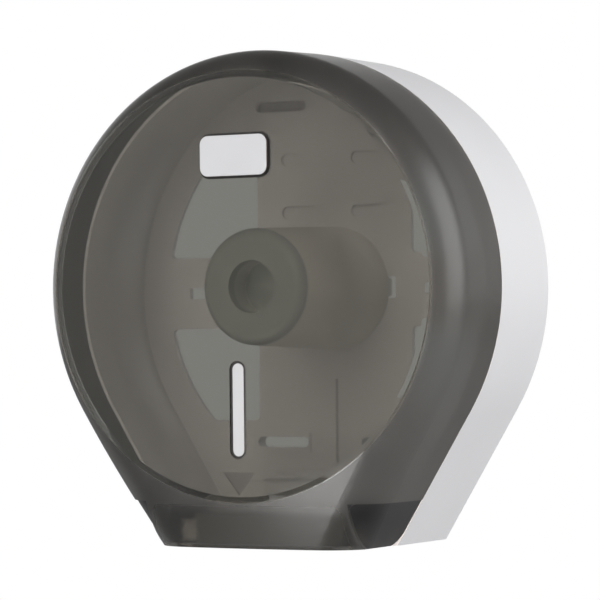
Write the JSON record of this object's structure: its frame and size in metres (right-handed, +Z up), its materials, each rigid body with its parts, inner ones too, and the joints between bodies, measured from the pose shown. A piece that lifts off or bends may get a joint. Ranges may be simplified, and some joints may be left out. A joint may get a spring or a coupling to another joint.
{
  "type": "jumbo toilet roll dispenser",
  "caption": "Wall-held jumbo toilet roll dispenser: white rear housing with hub and tear frame, smoked front cover on a bottom hinge with a cam lock.",
  "frame": {"origin": "on the wall plane, on the axis of the roll hub", "axes": "+X to the viewer's right, +Y into the wall, +Z up; the cover faces -Y"},
  "size_m": [0.27, 0.125, 0.2822],
  "materials": {
    "white_abs": "moulded ABS, fine satin",
    "hub_abs": "moulded ABS, satin",
    "smoked_clear": "smoked clear polycarbonate, gloss",
    "white_trim": "moulded ABS, smooth",
    "natural_acetal": "moulded acetal, matt",
    "black_rubber": "moulded rubber, matt",
    "pin_steel": "ground steel pin",
    "grey_abs": "moulded ABS, satin",
    "wall_rubber": "grey moulded rubber, matt",
    "zinc_screw": "zinc-plated steel",
    "zinc_sheet": "zinc-plated sheet steel",
    "lock_chrome": "plated die casting"
  },
  "bodies": {
    "housing": {"rear_housing": "white_abs", "hub_core": "hub_abs", "hinge_block_right": "natural_acetal", "hinge_block_left": "natural_acetal", "corner_buffer_right": "black_rubber", "corner_buffer_left": "black_rubber", "hinge_pin_right": "pin_steel", "hinge_pin_left": "pin_steel", "tear_frame": "grey_abs", "upper_wall_pad_right": "wall_rubber", "upper_wall_pad_left": "wall_rubber", "tear_frame_screws": "zinc_screw", "hinge_block_screws": "zinc_screw", "lock_keeper_screws": "zinc_screw", "lock_keeper": "zinc_sheet"},
    "cover": {"front_cover": "smoked_clear", "badge_plate": "white_trim", "front_inlay": "white_trim", "lock_sleeve": "lock_chrome", "lock_nut": "lock_chrome"},
    "lock": {"lock_barrel": "lock_chrome", "lock_cam": "zinc_sheet", "lock_cam_screw": "zinc_screw"}
  },
  "joints": [
    {"name": "cover_hinge", "type": "hinge", "parent": "housing", "child": "cover", "pos_m": [0, -0.0702, -0.1382], "axis": [1, 0, 0], "range_deg": [0, 90]},
    {"name": "lock_turn", "type": "hinge", "parent": "cover", "child": "lock", "pos_m": [0, -0.076, 0.13], "axis": [0, 0, -1], "range_deg": [0, 90]}
  ]
}
